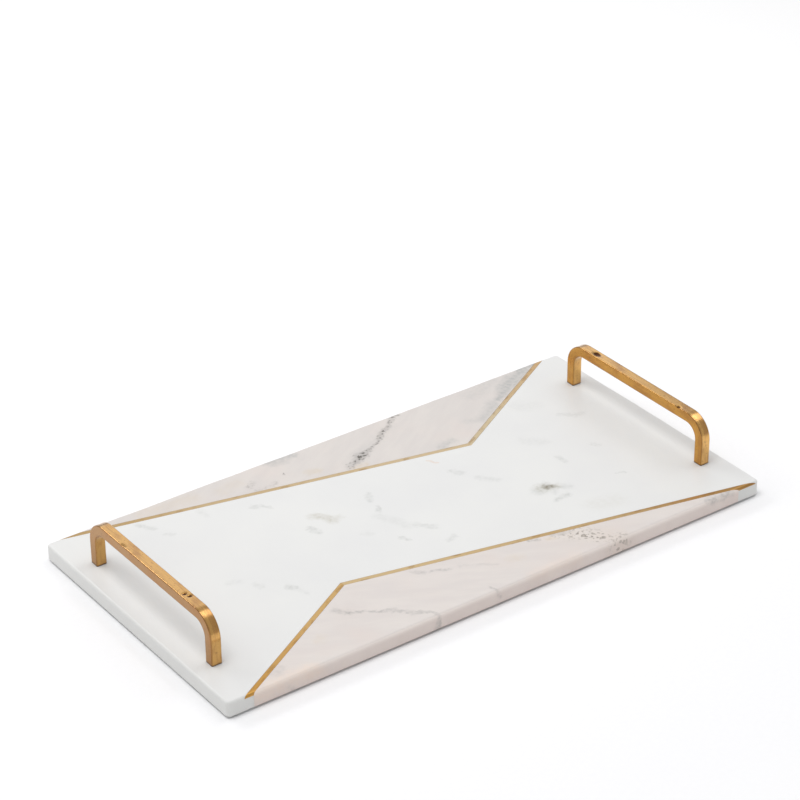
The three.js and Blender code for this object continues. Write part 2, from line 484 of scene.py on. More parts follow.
DENTS = {
    "left": [
        Dent(-0.6, -36.6, 1.5, 1.1, 0.6),
        Dent(0.7, -40.2, 1.6, 1.1, 0.6),
        Dent(-2.6, 28.1, 0.8, 2.6, 0.3),
    ],
    "right": [
        Dent(-0.4, 40.9, 1.9, 3.2, 0.7),
        Dent(-2.7, -43.8, 0.9, 1.9, 0.5),
    ],
}

BAR_EDGE_STEPS = 5
BAR_FACE_STEPS = 9
BAR_WAVER = 0.05 * MM
BAR_WAVE_LENGTH = 9 * MM
LEG_END_STEPS = 4


def bar_section(half):
    """The bar's square section with rounded edges, from the middle out: (across, outwards)."""
    points = []
    flat = half - BAR_EDGE
    for quarter in range(4):
        turn = Matrix.Rotation(quarter * math.pi / 2, 2)
        for step in range(BAR_FACE_STEPS):
            points.append(turn @ Vector((half, flat * (2 * step / BAR_FACE_STEPS - 1))))
        for step in range(BAR_EDGE_STEPS):
            angle = math.pi / 2 * step / BAR_EDGE_STEPS
            arc = Vector((math.cos(angle), math.sin(angle))) * BAR_EDGE
            points.append(turn @ (Vector((flat, flat)) + arc))
    return points


class BarPath:
    """The middle line of a bent bar: up one leg, round a bend, across, and down again."""

    def __init__(self, low, high):
        self.half_bar = (high.x - low.x) / 2
        self.x = (low.x + high.x) / 2
        self.foot = low.z
        self.leg_y = high.y - self.half_bar
        self.radius = HANDLE_BEND - self.half_bar
        self.top = high.z - self.half_bar
        self.leg = self.top - self.radius - self.foot
        self.bend = self.radius * math.pi / 2
        self.length = 2 * (self.leg + self.bend + self.leg_y - self.radius)

    def at(self, distance):
        """The point at a distance along the bar, as (y, z), and the way out from it."""
        if distance > self.length / 2:
            point, out = self.at(self.length - distance)
            return Vector((-point.x, point.y)), Vector((-out.x, out.y))
        if distance < self.leg:
            return Vector((-self.leg_y, self.foot + distance)), Vector((-1, 0))
        if distance < self.leg + self.bend:
            angle = (distance - self.leg) / self.radius
            out = Vector((-math.cos(angle), math.sin(angle)))
            centre = Vector((self.radius - self.leg_y, self.top - self.radius))
            return centre + out * self.radius, out
        along = distance - self.leg - self.bend
        return Vector((self.radius - self.leg_y + along, self.top)), Vector((0, 1))


def bar_stations(length):
    """Distances along the bar for its rings, closer together at its two rounded ends."""
    count = round(length / RING_STEP)
    inner = [length * step / count for step in range(1, count)]
    angles = [math.pi / 2 * step / LEG_END_STEPS for step in range(LEG_END_STEPS + 1)]
    end = [LEG_END_EDGE * (1 - math.cos(angle)) for angle in angles]
    inner = [distance for distance in inner if LEG_END_EDGE < distance < length - LEG_END_EDGE]
    return end + inner + [length - distance for distance in reversed(end)]


def handle(name):
    """A bent square bar, with a tapped hole in each leg."""
    path = BarPath(*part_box(f"handle_{name}"))
    section = bar_section(path.half_bar)
    bm = bmesh.new()
    # The brass reads these: where a point lies in the bar, and how deep a tool mark is there.
    space = bm.verts.layers.float_vector.new("bar_space")
    sunk = bm.verts.layers.float.new("sunk")
    rings = []
    for distance in bar_stations(path.length):
        point, out = path.at(distance)
        from_end = min(distance, path.length - distance)
        shrink = 1 - rounding(LEG_END_EDGE - from_end, LEG_END_EDGE) / path.half_bar
        ring = []
        for across, outwards in section:
            place = Vector((path.x + across, *point))
            waver = BAR_WAVER * (1 + noise.noise(place / BAR_WAVE_LENGTH)) / 2
            depth = 0
            if outwards > path.half_bar - BAR_EDGE:
                depth = sum(dent.at(across, point.x) for dent in DENTS[name])
            flat = point + out * (outwards * (shrink - waver / path.half_bar) - depth)
            vertex = bm.verts.new((path.x + across * shrink, flat.x, flat.y))
            vertex[space] = (distance, across, outwards)
            vertex[sunk] = depth
            ring.append(vertex)
        rings.append(ring)
    join_rings(bm, rings)
    for ring, leg_y in ((rings[0], -path.leg_y), (rings[-1], path.leg_y)):
        tapped_end(bm, ring, Vector((path.x, leg_y, path.foot)))
    return mesh_object(f"handle_{name}_bar", bm)


def tapped_end(bm, ring, centre):
    """Closes a leg's end with a blind tapped hole."""
    rings = [ring]
    for depth in (0, TAPPED_DEPTH):
        loop = []
        for vertex in ring:
            away = (vertex.co - centre).to_2d().normalized() * TAPPED_RADIUS
            loop.append(bm.verts.new(centre + Vector((away.x, away.y, depth))))
        rings.append(loop)
    join_rings(bm, rings)
    bm.faces.new(rings[-1])


# ---------------------------------------------------------------- fasteners and feet

SCREW_SEGMENTS = 40
THREAD_STEPS = 8


def screw_head(radius, bottom, seat):
    """The profile of a pan head, from its middle round to the foot of the thread."""
    return softened([
        (0, bottom),
        (radius * 0.62, bottom),
        (radius * 0.9, bottom + SCREW_HEAD_HEIGHT * 0.2),
        (radius, bottom + SCREW_HEAD_HEIGHT * 0.55),
        (radius, seat),
        (THREAD_RADIUS - THREAD_HEIGHT, seat),
    ], SCREW_HEAD_EDGE)


def thread_radius(away, seat, top):
    """How far out the thread stands at a place beside the screw's axis: less at its point."""
    turn = math.atan2(away.y, away.x) / math.tau
    share = (away.z - seat) / THREAD_PITCH - turn
    groove = abs(2 * (share - math.floor(share)) - 1)
    tip = max(0, 1 - (top - away.z) / TIP_LENGTH)
    return (THREAD_RADIUS - THREAD_HEIGHT * groove) * (1 - TIP_TAPER * tip)


def screw(side, edge):
    """A pan-head M4 screw with a real thread, head down."""
    centre, head_radius, bottom, top = round_part(f"screw_{side}_{edge}")
    seat = bottom + SCREW_HEAD_HEIGHT
    count = round((top - seat) / THREAD_PITCH * THREAD_STEPS)
    heights = [seat + (top - seat) * step / count for step in range(1, count + 1)]
    profile = screw_head(head_radius, bottom, seat)
    profile += [Vector((THREAD_RADIUS, height)) for height in heights]
    bm = turned(profile + [Vector((0, top))], centre, SCREW_SEGMENTS)
    for vertex in bm.verts:
        away = vertex.co - centre
        if away.z > seat + SAME_LEVEL and away.to_2d().length > THREAD_RADIUS / 2:
            out = away.to_2d().normalized() * thread_radius(away, seat, top)
            vertex.co.xy = centre.xy + out
    thing = mesh_object(f"screw_{side}_{edge}_m4", bm)
    cut(thing, [recess_cutter(centre, bottom, turn) for turn in (0, math.pi / 2)])
    return thing


# The cross recess from below the head to its inner end: depth, and share of its full span.
RECESS_STAGES = [(-RECESS_DEPTH, 1.25), (0, 1.0), (RECESS_DEPTH, 0.55)]
RECESS_TURN = math.pi / 5


def recess_cutter(centre, bottom, turn):
    """One bar of the cross recess, narrower at its inner end."""
    bm = bmesh.new()
    rings = []
    for depth, share in RECESS_STAGES:
        half_span = RECESS_SPAN / 2 * share
        half_width = RECESS_WIDTH / 2 * (share + 0.4) / 1.4
        ring = []
        for x, y in ((-1, -1), (1, -1), (1, 1), (-1, 1)):
            spot = Vector((x * half_span, y * half_width, 0))
            spot.rotate(Matrix.Rotation(turn + RECESS_TURN, 3, "Z"))
            ring.append(bm.verts.new(centre + spot + Vector((0, 0, bottom + depth))))
        rings.append(ring)
    join_rings(bm, rings)
    cap(bm, rings)
    return mesh_object("recess cutter", bm)


def washer(side, edge):
    """A plain washer with its stamped edges just broken."""
    centre, radius, bottom, top = round_part(f"washer_{side}_{edge}")
    inside = (CLEARANCE_RADIUS, (bottom + top) / 2)
    profile = softened([
        inside,
        (CLEARANCE_RADIUS, bottom),
        (radius, bottom),
        (radius, top),
        (CLEARANCE_RADIUS, top),
        inside,
    ], WASHER_EDGE)
    bm = bmesh.new()
    rings = [circle(bm, centre, *point) for point in profile[:-1]]
    join_rings(bm, rings + [rings[0]])
    return mesh_object(f"washer_{side}_{edge}_ring", bm)


FOOT_SEGMENTS = 72


def foot(side, edge):
    """A low rubber foot with a rounded edge and a shallow dish underneath."""
    centre, radius, bottom, top = round_part(f"foot_{side}_{edge}")
    profile = softened([
        (0, bottom + FOOT_DISH),
        (radius * 0.5, bottom + FOOT_DISH),
        (radius * 0.6, bottom),
        (radius, bottom),
        (radius, top),
        (radius * 0.97, top),
        (0, top),
    ], FOOT_EDGE)
    return mesh_object(f"foot_{side}_{edge}_pad", turned(profile, centre, FOOT_SEGMENTS))


# ---------------------------------------------------------------- node recipes

def shade(red, green, blue):
    """A colour as it is read on a screen, 0 to 255, turned into light."""
    def light(value):
        value = value / 255
        return value / 12.92 if value < 0.04045 else ((value + 0.055) / 1.055) ** 2.4
    return (light(red), light(green), light(blue), 1)


class Recipe:
    """A node tree written step by step. Each step returns the socket with its result."""

    def __init__(self, tree):
        self.nodes = tree.nodes
        self.links = tree.links

    def feed(self, socket, value):
        if isinstance(value, bpy.types.NodeSocket):
            self.links.new(value, socket)
        else:
            socket.default_value = value

    def step(self, kind, inputs, output=0, **settings):
        node = self.nodes.new(kind)
        for name, value in settings.items():
            setattr(node, name, value)
        for name, value in inputs.items():
            self.feed(node.inputs[name], value)
        return node.outputs[output]

    def place(self):
        """The place on the tray, in metres."""
        return self.step("ShaderNodeTexCoord", {}, "Object")

    def maths(self, operation, first, second=0.0, clamp=False):
        inputs = {0: first, 1: second}
        return self.step("ShaderNodeMath", inputs, operation=operation, use_clamp=clamp)

    def vector(self, operation, first, second, output=0):
        return self.step("ShaderNodeVectorMath", {0: first, 1: second}, output, operation=operation)

    def part(self, vector, axis):
        """One of a vector's three numbers: its X, Y or Z."""
        return self.step("ShaderNodeSeparateXYZ", {0: vector}, axis)

    def scaled(self, vector, sizes):
        """A vector measured in these sizes."""
        return self.vector("DIVIDE", vector, sizes)

    def noise(self, vector, size, detail=2.0, output=0):
        """Noise with features of about that size."""
        inputs = {"Vector": vector, "Scale": 1 / size, "Detail": detail}
        return self.step("ShaderNodeTexNoise", inputs, output)

    def between(self, value, low, high):
        """0 below low, 1 above high and smooth in between."""
        inputs = {"Value": value, "From Min": low, "From Max": high}
        return self.step("ShaderNodeMapRange", inputs, interpolation_type="SMOOTHSTEP")

    def spread(self, value, low, high):
        """A value from 0 to 1 spread over low to high."""
        inputs = {"Value": value, "To Min": low, "To Max": high}
        return self.step("ShaderNodeMapRange", inputs)

    def mixed(self, share, first, second):
        """A colour between two colours."""
        return self.step("ShaderNodeMix", {0: share, 6: first, 7: second}, 2, data_type="RGBA")

    def tinted(self, colour, mask, strength, tone):
        """A colour tinted where a mask is 1, that strongly."""
        return self.mixed(self.maths("MULTIPLY", mask, strength), colour, tone)

    def bump(self, height, distance, normal=None):
        inputs = {"Height": height, "Distance": distance, "Strength": 1.0}
        if normal:
            inputs["Normal"] = normal
        return self.step("ShaderNodeBump", inputs)


class Material(Recipe):
    """A material under construction."""

    def __init__(self, name):
        self.result = bpy.data.materials.new(name)
        self.result.use_nodes = True
        super().__init__(self.result.node_tree)
        self.shader = self.nodes["Principled BSDF"]

    def set(self, **sockets):
        """Sets or links sockets of the shader: base_color is Base Color, and so on."""
        for name, value in sockets.items():
            self.feed(self.shader.inputs[name.replace("_", " ").title()], value)


# ---------------------------------------------------------------- marble

def streak_group():
    """How strongly a place lies on a short streak between two points: 1 on it, 0 away from it."""
    tree = bpy.data.node_groups.new("streak", "ShaderNodeTree")
    for name, kind in (("Place", "Vector"), ("From", "Vector"), ("To", "Vector"), ("Width", "Float")):
        tree.interface.new_socket(name, in_out="INPUT", socket_type=f"NodeSocket{kind}")
    tree.interface.new_socket("Mask", in_out="OUTPUT", socket_type="NodeSocketFloat")
    recipe = Recipe(tree)
    given = tree.nodes.new("NodeGroupInput").outputs
    run = recipe.vector("SUBTRACT", given["To"], given["From"])
    here = recipe.vector("SUBTRACT", given["Place"], given["From"])
    along = recipe.vector("DOT_PRODUCT", here, run, "Value")
    length = recipe.vector("DOT_PRODUCT", run, run, "Value")
    share = recipe.maths("DIVIDE", along, length, clamp=True)
    nearest = recipe.step("ShaderNodeVectorMath", {0: run, "Scale": share}, operation="SCALE")
    distance = recipe.vector("DISTANCE", here, nearest, "Value")
    relative = recipe.maths("DIVIDE", distance, given["Width"])
    mask = recipe.maths("SUBTRACT", 1.0, recipe.between(relative, 0.1, 1.6))
    last = tree.nodes.new("NodeGroupOutput")
    recipe.links.new(mask, last.inputs["Mask"])
    return tree


STREAK = streak_group()


# How far the markings shift sideways for each metre down.
VEIN_DIP = (-0.6, 0.8, 0)


class Marble(Material):
    """A marble whose markings are drawn one by one over a cloudy ground, and slant down through it."""

    def __init__(self, name):
        super().__init__(name)
        spot = self.place()
        self.spot = spot
        self.plan = self.vector("MULTIPLY", spot, (1, 1, 0.25))
        coarse = self.noise(self.plan, 14 * MM, 3, "Color")
        fine = self.noise(spot, 2.6 * MM, 3, "Color")
        drift = self.wander(coarse, 9 * MM)
        fray = self.wander(fine, 4 * MM)
        self.height = self.part(spot, "Z")
        depth = self.maths("SUBTRACT", SLAB_TOP, self.height)
        dip = self.step("ShaderNodeVectorMath", {0: VEIN_DIP, "Scale": depth}, operation="SCALE")
        warped = self.vector("ADD", self.vector("ADD", spot, drift), self.vector("ADD", fray, dip))
        self.warped = self.vector("MULTIPLY", warped, (1, 1, 0))
        self.patchy = self.between(self.noise(spot, 2.8 * MM, 4), 0.34, 0.66)
        self.flecks = self.between(self.noise(spot, 2.2 * MM, 3), 0.51, 0.62)

    def wander(self, noise_colour, reach):
        """A sideways shift of up to half that reach each way."""
        centred = self.vector("SUBTRACT", noise_colour, (0.5, 0.5, 0.5))
        return self.vector("MULTIPLY", centred, (reach, reach, 0))

    def streak(self, start, end, width):
        node = self.nodes.new("ShaderNodeGroup")
        node.node_tree = STREAK
        self.links.new(self.warped, node.inputs["Place"])
        node.inputs["From"].default_value = (start[0] * MM, start[1] * MM, 0)
        node.inputs["To"].default_value = (end[0] * MM, end[1] * MM, 0)
        node.inputs["Width"].default_value = width * MM
        return node.outputs["Mask"]

    def below_top(self):
        """0 on the top face, 1 on the sides."""
        return self.between(self.height, SLAB_TOP - 0.05 * MM, SLAB_TOP - 0.8 * MM)

    def marked(self, colour, tone, marks, texture):
        """A colour with marks drawn over it, each (start, end, width, strength)."""
        total = 0.0
        for start, end, width, strength in marks:
            mask = self.maths("MULTIPLY", self.streak(start, end, width), strength)
            total = self.maths("MAXIMUM", mask, total)
        return self.mixed(self.maths("MULTIPLY", total, texture, clamp=True), colour, tone)


# The marks of the stones, given one by one: from one point to another of the top face in
# millimetres, how wide it is and how strong.
WHITE_GREY_MARKS = [
    ((80, -29), (87, -29), 5.0, 0.34),
    ((92, -33), (99, -38), 3.0, 0.28),
    ((86, -37), (88, -34), 3.0, 0.22),
    ((83, -45), (91, -45), 2.6, 0.34),
    ((50, 22), (53, 17), 2.6, 0.26),
    ((58, 5), (66, -4), 2.4, 0.20),
    ((115, -5), (116, -11), 2.6, 0.30),
    ((111, 24), (119, 17), 5.0, 0.12),
    ((143, -5), (146, -9), 2.0, 0.18),
    ((150, 37), (162, 29), 2.6, 0.20),
    ((134, -43), (137, -45), 1.2, 0.30),
    ((134, 62), (144, 56), 6.0, 0.10),
    ((-61, 20), (-59, 14), 2.4, 0.32),
    ((-9, 31), (-13, 24), 1.8, 0.26),
    ((-12, 15), (-14, 12), 2.0, 0.34),
    ((-18, 6), (-11, -12), 4.0, 0.13),
    ((-6, -15), (3, -25), 2.6, 0.26),
    ((-19, -26), (-22, -23), 1.8, 0.34),
    ((0, -41), (6, -40), 2.0, 0.22),
    ((-107, -24), (-104, -29), 2.4, 0.34),
    ((-104, -30), (-102, -37), 2.0, 0.14),
    ((-133, -1), (-127, -4), 2.6, 0.12),
    ((-121, -12), (-119, -17), 2.2, 0.18),
    ((-76, 63), (-66, 56), 1.8, 0.28),
    ((-144, 86), (-139, 78), 2.4, 0.30),
    ((-135, 67), (-133, 64), 2.2, 0.20),
    ((-105, 76), (-104, 72), 2.6, 0.14),
    ((-33, -6), (-37, -3), 2.4, 0.12),
]
WHITE_BEIGE_MARKS = [
    ((-50, 30), (-43, 21), 4.0, 0.42),
    ((-42, 21), (-37, 20), 2.6, 0.20),
    ((98, -63), (111, -67), 8.0, 0.10),
    ((84, -28), (91, -31), 4.5, 0.35),
]
WHITE_DARK_MARKS = [((87.5, -28.5), (89.5, -30), 2.6, 0.85)]
WHITE_RUST_MARKS = [((45, 42), (48, 36), 0.9, 0.25)]


def white_marble():
    """Honed white marble with a few small grey smudges and one dark spot."""
    m = Marble("white_marble")
    clouds = m.noise(m.plan, 60 * MM, 3)
    colour = m.mixed(m.between(clouds, 0.3, 0.7), shade(222, 222, 221), shade(225, 225, 223))
    # Painted shade: the sides are toned a little darker than the top.
    colour = m.mixed(m.below_top(), colour, shade(221, 221, 218))
    colour = m.marked(colour, shade(170, 172, 168), WHITE_GREY_MARKS, m.spread(m.patchy, 0.55, 1.2))
    colour = m.marked(colour, shade(176, 170, 152), WHITE_BEIGE_MARKS, m.spread(m.patchy, 0.6, 1.2))
    colour = m.marked(colour, shade(124, 116, 98), WHITE_DARK_MARKS, m.spread(m.patchy, 0.7, 1.0))
    colour = m.marked(colour, shade(214, 160, 110), WHITE_RUST_MARKS, 1.0)
    finish_stone(m, colour)
    return m.result


BACK_GREY_MARKS = [
    ((0, 63), (5, 68), 2.0, 0.55),
    ((7, 68), (17, 72), 2.5, 1.1),
    ((16, 72), (25, 75), 1.7, 0.8),
    ((25, 75), (35, 82), 1.4, 0.65),
    ((37, 84), (46, 89), 2.2, 1.0),
    ((46, 88), (54, 96), 1.6, 0.7),
    ((54, 96), (63, 100), 2.2, 0.8),
    ((-64, 84), (-59, 87), 2.2, 0.35),
    ((-66, 77), (-47, 76), 2.0, 0.22),
    ((-37.5, 81.5), (-37.2, 81.8), 0.9, 1.2),
]
BACK_BLUE_MARKS = [
    ((-38, 101), (-20, 99), 3.6, 0.4),
    ((-36, 97), (-27, 95), 3.0, 0.25),
    ((6, 68), (50, 91), 5.0, 0.14),
    ((106, 64), (124, 74), 4.6, 0.3),
    ((131, 78), (141, 84), 3.6, 0.5),
    ((138, 82), (154, 92), 6.0, 0.5),
    ((150, 90), (168, 99), 5.6, 0.5),
    ((165, 101), (178, 102), 3.0, 0.6),
    ((96, 67), (101, 65), 3.0, 0.15),
    ((62, 50), (72, 52), 3.4, 0.3),
    ((118, 92), (140, 99), 6.0, 0.18),
]
BACK_TAN_MARKS = [
    ((-24, 76), (-18, 74), 3.0, 0.3),
    ((3, 62), (12, 63), 2.5, 0.3),
    ((-135, 96), (-100, 93), 6.0, 0.2),
    ((-80, 88), (-66, 92), 5.0, 0.15),
]
FRONT_GREY_MARKS = [
    ((-99, -64), (-93, -69), 3.0, 0.4),
    ((-95, -68), (-87, -73), 2.0, 0.55),
    ((-88, -73), (-78, -79), 1.4, 0.45),
    ((-78, -79), (-66, -89), 1.5, 0.42),
    ((-65, -90), (-58, -96), 2.0, 0.4),
    ((-58, -96), (-53, -103), 1.8, 0.42),
    ((-38, -57), (-33, -61), 1.9, 0.3),
    ((-28, -63), (-19, -68), 1.7, 0.34),
    ((-12, -68), (8, -81), 1.6, 0.14),
    ((40, -71), (45, -73), 1.8, 0.5),
    ((56, -74), (66, -78), 2.2, 0.3),
    ((-162, -94), (-157, -91), 3.0, 0.2),
    ((158, -101), (176, -103), 2.6, 0.5),
    ((-11, -99), (-9, -103), 1.6, 0.4),
]
FRONT_FLECK_MARKS = [
    ((67, -82), (77, -93), 6.8, 0.85),
    ((78, -99), (88, -101), 4.0, 0.5),
    ((54, -76), (60, -78), 2.5, 0.4),
]
FRONT_PEACH_MARKS = [
    ((-182, -101), (-142, -102), 6.0, 0.38),
    ((20, -104), (50, -104), 6.0, 0.25),
]
FRONT_TAN_MARKS = [
    ((50, -76), (54, -78), 2.0, 0.4),
    ((64, -80), (84, -98), 10.0, 0.14),
    ((18, -80), (24, -82), 3.6, 0.18),
    ((-125, -84), (-120, -80), 3.6, 0.18),
]


# The darker and the lighter bands of each pink piece, and how the bands slope.
PINK_TONES = {
    "front": (shade(213, 206, 202), shade(218, 211, 206)),
    "back": (shade(209, 203, 199), shade(214, 208, 203)),
}
BAND_SLOPE = {"front": math.radians(-28), "back": math.radians(32)}


def pink_ground(m, edge):
    """The pink stone's colour in faint slanting bands. The sides are warmer and painted lighter, most
    near the top edge: painted light.
    """
    slant = m.step("ShaderNodeMapping", {"Vector": m.plan, "Rotation": (0, 0, -BAND_SLOPE[edge])})
    bands = m.noise(m.scaled(slant, (4, 1, 1)), 7 * MM, 4)
    clouds = m.noise(m.plan, 38 * MM, 3)
    darker, lighter = PINK_TONES[edge]
    ground = m.mixed(m.between(bands, 0.3, 0.7), darker, lighter)
    ground = m.tinted(ground, m.between(clouds, 0.45, 0.75), 0.6, shade(216, 205, 199))
    # Painted light: the sides are toned lighter than the top, and lighter still near their upper edge.
    sides = m.mixed(m.between(bands, 0.3, 0.7), shade(222, 209, 202), shade(227, 215, 208))
    painted_upper_light = m.between(m.height, SLAB_TOP - 4 * MM, SLAB_TOP - MM)
    sides = m.mixed(painted_upper_light, sides, shade(236, 226, 219))
    return m.mixed(m.below_top(), ground, sides)


def pink_marble_back():
    """Pale pink marble with a speckled grey vein and blue-grey patches."""
    m = Marble("pink_marble_back")
    colour = pink_ground(m, "back")
    colour = m.marked(colour, shade(206, 188, 160), BACK_TAN_MARKS, m.spread(m.patchy, 0.6, 1.2))
    colour = m.marked(colour, shade(146, 152, 152), BACK_BLUE_MARKS, m.spread(m.patchy, 0.6, 1.1))
    colour = m.marked(colour, shade(98, 94, 88), BACK_GREY_MARKS, m.spread(m.flecks, 0.28, 1.0))
    finish_stone(m, colour)
    return m.result


def pink_marble_front():
    """Pale pink marble with a thin grey vein and a cluster of dark flecks."""
    m = Marble("pink_marble_front")
    colour = pink_ground(m, "front")
    colour = m.marked(colour, shade(238, 214, 194), FRONT_PEACH_MARKS, m.spread(m.patchy, 0.7, 1.1))
    colour = m.marked(colour, shade(212, 194, 168), FRONT_TAN_MARKS, m.spread(m.patchy, 0.6, 1.2))
    colour = m.marked(colour, shade(140, 140, 138), FRONT_GREY_MARKS, m.spread(m.patchy, 0.35, 1.0))
    colour = m.marked(colour, shade(138, 130, 120), FRONT_FLECK_MARKS, m.flecks)
    finish_stone(m, colour)
    return m.result


def finish_stone(m, colour):
    """A honed surface: fine crystals in the colour, and a faint unevenness in gloss and relief."""
    crystals = m.noise(m.spot, 0.5 * MM, 2)
    shading = m.spread(crystals, 0.965, 1.035)
    toned = m.step("ShaderNodeVectorMath", {0: colour, "Scale": shading}, operation="SCALE")
    hone = m.noise(m.spot, 9 * MM, 4)
    m.set(base_color=toned, roughness=m.spread(hone, 0.3, 0.5))
    relief = m.bump(m.noise(m.spot, 0.8 * MM, 3), 0.012 * MM)
    m.set(normal=m.bump(m.noise(m.spot, 18 * MM, 2), 0.05 * MM, relief))


# ---------------------------------------------------------------- metals and rubber

# How much longer than wide the grain of drawn or ground metal is.
GRAIN = (40, 1, 1)

# A handle's tone on its back and on its two sides. The sides are painted darker than the back, and each
# handle has its own pair of tones for how it is lit: painted light and shade.
BAR_TONES = {
    "left": (shade(214, 164, 86), shade(170, 126, 72)),
    "right": (shade(224, 173, 92), shade(207, 152, 68)),
}


def handle_brass(side_name):
    """Lacquered brass, drawn along the bar and faintly mottled. Its sides are painted darker than its
    back, as painted shade.
    """
    m = Material(f"handle_brass_{side_name}")
    lit_back_tone, shaded_side_tone = BAR_TONES[side_name]
    bar = m.step("ShaderNodeAttribute", {}, "Vector", attribute_name="bar_space")
    sunk = m.step("ShaderNodeAttribute", {}, "Fac", attribute_name="sunk")
    spot = m.place()
    across = m.maths("ABSOLUTE", m.part(bar, "Y"))
    outwards = m.maths("ABSOLUTE", m.part(bar, "Z"))
    side = m.between(m.maths("SUBTRACT", across, outwards), -0.2 * MM, 0.3 * MM)
    # Painted shade: the sides take a darker tone than the back.
    colour = m.mixed(side, lit_back_tone, shaded_side_tone)
    patches = m.noise(m.scaled(bar, (2.5, 1, 1)), 5 * MM, 5)
    colour = m.tinted(colour, m.between(patches, 0.46, 0.68), 0.6, shade(172, 118, 56))
    lines = m.noise(m.scaled(bar, GRAIN), 0.6 * MM, 3)
    colour = m.tinted(colour, m.between(lines, 0.48, 0.7), 0.5, shade(170, 120, 62))
    flecks = m.noise(spot, 1.6 * MM, 4)
    colour = m.tinted(colour, m.between(flecks, 0.58, 0.72), 0.5, shade(134, 88, 42))
    edge = m.between(m.maths("MINIMUM", across, outwards), 2.6 * MM, 3.2 * MM)
    colour = m.tinted(colour, edge, m.spread(flecks, 0.2, 0.8), shade(128, 84, 38))
    # Painted shade: each leg is darkened just above the slab, where it stands on it.
    foot_end = m.between(m.part(spot, "Z"), SLAB_TOP + 1.6 * MM, SLAB_TOP + 0.2 * MM)
    painted_foot_shade = m.maths("MULTIPLY", foot_end, m.spread(flecks, 0.5, 1.2), clamp=True)
    colour = m.mixed(painted_foot_shade, colour, shade(86, 58, 34))
    pit = m.between(sunk, 0.1 * MM, 0.45 * MM)
    colour = m.mixed(pit, colour, shade(92, 52, 22))
    rough = m.maths("ADD", m.spread(patches, 0.17, 0.29), m.spread(lines, -0.04, 0.05))
    lacquer = m.maths("SUBTRACT", m.spread(side, 1.0, 0.25), pit, clamp=True)
    m.set(base_color=colour, metallic=1.0, roughness=rough, coat_weight=lacquer, coat_roughness=0.2)
    drawn = m.bump(lines, 0.012 * MM)
    m.set(normal=m.bump(m.noise(spot, 5 * MM, 3), 0.02 * MM, drawn))
    return m.result


# A strip's tone at the bend and at the slab's edge.
STRIP_TONES = {
    ("front", "long"): (shade(214, 188, 144), shade(182, 140, 84)),
    ("front", "short"): (shade(214, 178, 120), shade(204, 156, 84)),
    ("back", "long"): (shade(216, 194, 158), shade(196, 164, 114)),
    ("back", "short"): (shade(218, 200, 166), shade(214, 180, 134)),
}


def inlay_brass(edge, arm):
    """Flat brass ground flush with the stone: scratched along the strip, and duller towards its end."""
    m = Material(f"inlay_brass_{edge}_{arm}")
    spot = m.place()
    strip = STRIPS[edge, arm]
    turn = -math.atan2(strip.direction.y, strip.direction.x)
    along = m.step("ShaderNodeMapping", {"Vector": spot, "Rotation": (0, 0, turn)})
    from_start = m.vector("SUBTRACT", spot, strip.start)
    run = m.vector("DOT_PRODUCT", from_start, strip.direction.to_3d(), "Value")
    patches = m.noise(m.scaled(along, (3, 1, 1)), 16 * MM, 4)
    drift = m.maths("ADD", m.maths("DIVIDE", run, strip.length), m.spread(patches, -0.35, 0.35))
    inner, outer = STRIP_TONES[edge, arm]
    colour = m.mixed(m.between(drift, 0.3, 1.0), inner, outer)
    blots = m.noise(m.scaled(along, (2, 1, 1)), 3.5 * MM, 4)
    colour = m.tinted(colour, m.between(blots, 0.54, 0.72), 0.45, shade(158, 116, 70))
    lines = m.noise(m.scaled(along, GRAIN), 0.3 * MM, 3)
    rough = m.maths("ADD", m.spread(patches, 0.34, 0.5), m.spread(lines, -0.05, 0.08))
    m.set(base_color=colour, metallic=1.0, roughness=rough)
    m.set(normal=m.bump(lines, 0.01 * MM))
    return m.result


def zinc():
    """Zinc-plated steel with a faint spangle and turning marks."""
    m = Material("fastener_steel")
    spot = m.place()
    spangle = m.noise(spot, 1.1 * MM, 3)
    colour = m.mixed(m.between(spangle, 0.35, 0.65), shade(170, 174, 178), shade(200, 201, 200))
    marks = m.noise(m.scaled(spot, (1, 1, 12)), 0.25 * MM, 2)
    m.set(base_color=colour, metallic=1.0, roughness=m.spread(spangle, 0.3, 0.5))
    m.set(normal=m.bump(marks, 0.01 * MM))
    return m.result


def rubber():
    """Matt black rubber with a fine grain and a little dust."""
    m = Material("foot_rubber")
    spot = m.place()
    dust = m.between(m.noise(spot, 2.5 * MM, 4), 0.45, 0.75)
    m.set(base_color=m.tinted(shade(38, 38, 39), dust, 0.5, shade(72, 71, 69)))
    m.set(roughness=m.spread(dust, 0.75, 0.95))
    m.set(normal=m.bump(m.noise(spot, 0.35 * MM, 2), 0.03 * MM))
    return m.result


# ---------------------------------------------------------------- the tray

def build_slab():
    """The white middle, the two pink pieces and the four strips."""
    bm = lofted(white_sides(), SLAB_BOTTOM)
    hand_eased(bm)
    white = mesh_object("white_marble_centre_stone", bm)
    cut(white, [bed_cutter(edge) for edge in EDGES] + [hole_cutter(*corner) for corner in CORNERS])
    settle(white, "white_marble_centre", white_marble())
    pinks = {"front": pink_marble_front(), "back": pink_marble_back()}
    for edge, material in pinks.items():
        bm = lofted(pink_sides(edge), SLAB_BOTTOM)
        hand_eased(bm)
        stone = mesh_object(f"pink_marble_{edge}_stone", bm)
        settle(stone, f"pink_marble_{edge}", material)
        for arm in ARMS:
            bm = lofted(strip_sides(edge, arm), STRIP_FLOOR)
            hand_eased(bm)
            strip = mesh_object(f"inlay_{edge}_{arm}_strip", bm)
            settle(strip, f"inlay_{edge}_{arm}", inlay_brass(edge, arm))


